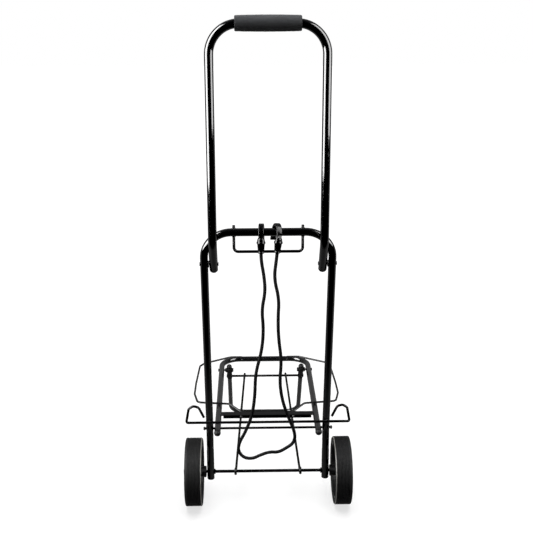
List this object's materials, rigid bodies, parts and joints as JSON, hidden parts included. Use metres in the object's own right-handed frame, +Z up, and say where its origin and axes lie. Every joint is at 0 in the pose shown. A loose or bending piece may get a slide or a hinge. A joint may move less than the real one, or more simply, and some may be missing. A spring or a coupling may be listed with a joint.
{
  "type": "folding luggage trolley",
  "caption": "Folding wheeled luggage trolley: bent tube frame and hinged handle, fold-out load platform with wire wings and foot, wheels, elastic cord with hooks.",
  "frame": {"origin": "middle of the footprint, on the floor", "axes": "+X to the user's right, +Y from the user's side towards the load's side, +Z up"},
  "size_m": [0.3516, 0.531, 0.9918],
  "materials": {
    "frame_paint": "gloss",
    "wire_paint": "gloss",
    "platform_paint": "gloss",
    "foot_paint": "satin",
    "dark_steel": "satin",
    "rivet_steel": "satin",
    "foam": "matte foam",
    "plug_plastic": "matte",
    "tyre": "matte",
    "rim_plastic": "satin",
    "bush_plastic": "satin",
    "cord_sheath": "braided",
    "hook_plastic": "semi-gloss"
  },
  "bodies": {
    "main_frame": {"main_frame_tube": "frame_paint", "frame_end_plugs": "plug_plastic", "cord_bracket": "wire_paint", "hook_bar": "wire_paint", "axle": "dark_steel", "axle_collars": "dark_steel", "axle_caps": "plug_plastic", "handle_pivot_rivets": "rivet_steel", "handle_pivot_washers": "bush_plastic", "elastic_cord": "cord_sheath", "cord_hook_left": "hook_plastic", "cord_hook_right": "hook_plastic"},
    "left_wheel": {"left_tyre": "tyre", "left_wheel_rim": "rim_plastic", "left_wheel_bush": "bush_plastic"},
    "right_wheel": {"right_tyre": "tyre", "right_wheel_rim": "rim_plastic", "right_wheel_bush": "bush_plastic"},
    "handle": {"handle_tube": "frame_paint", "handle_end_plugs": "plug_plastic", "handle_grip": "foam"},
    "slider": {"pivot_rod": "dark_steel", "pivot_rod_caps": "plug_plastic"},
    "platform": {"platform_tube": "platform_paint", "platform_channel": "platform_paint", "platform_end_caps": "plug_plastic", "foot_pivot_pins": "rivet_steel"},
    "foot": {"foot_tube": "foot_paint", "foot_end_caps": "plug_plastic", "foot_cross_rod": "dark_steel"},
    "links": {"left_link": "wire_paint", "right_link": "wire_paint"},
    "left_wing_rail": {"left_wing": "wire_paint"},
    "right_wing_rail": {"right_wing": "wire_paint"}
  },
  "joints": [
    {"name": "handle_fold", "type": "hinge", "parent": "main_frame", "child": "handle", "pos_m": [0, -0.22178, 0.5435], "axis": [1, 0, 0], "range_deg": [0, 180]},
    {"name": "slider_slide", "type": "slide", "parent": "main_frame", "child": "slider", "axis": [0, 0, 1], "range_m": [-0.0479, 0]},
    {"name": "platform_fold", "type": "hinge", "parent": "slider", "child": "platform", "pos_m": [0, -0.15197, 0.1694], "axis": [1, 0, 0], "range_deg": [0, 84.5]},
    {"name": "foot_fold", "type": "hinge", "parent": "platform", "child": "foot", "pos_m": [0, 0.14772, 0.1694], "axis": [1, 0, 0], "range_deg": [-118.6, 0]},
    {"name": "links_swing", "type": "hinge", "parent": "main_frame", "child": "links", "pos_m": [0, -0.15197, 0.07], "axis": [1, 0, 0], "range_deg": [0, 71.7]},
    {"name": "left_wheel_spin", "type": "hinge", "parent": "main_frame", "child": "left_wheel", "pos_m": [-0.15365, -0.15197, 0.07], "axis": [1, 0, 0], "continuous": true},
    {"name": "right_wheel_spin", "type": "hinge", "parent": "main_frame", "child": "right_wheel", "pos_m": [0.15365, -0.15197, 0.07], "axis": [1, 0, 0], "continuous": true},
    {"name": "left_wing_fold", "type": "hinge", "parent": "platform", "child": "left_wing_rail", "pos_m": [-0.055, -0.09373, 0.1704], "axis": [0, 1, 0], "range_deg": [0, 169.5]},
    {"name": "right_wing_fold", "type": "hinge", "parent": "platform", "child": "right_wing_rail", "pos_m": [0.055, -0.09373, 0.1704], "axis": [0, -1, 0], "range_deg": [0, 158.9]}
  ],
  "couplings": [
    {"joint": "slider_slide", "follows": "platform_fold", "m_per_rad": -0.032209},
    {"joint": "foot_fold", "follows": "platform_fold", "ratio": -1.3933},
    {"joint": "links_swing", "follows": "platform_fold", "ratio": 0.8416}
  ]
}
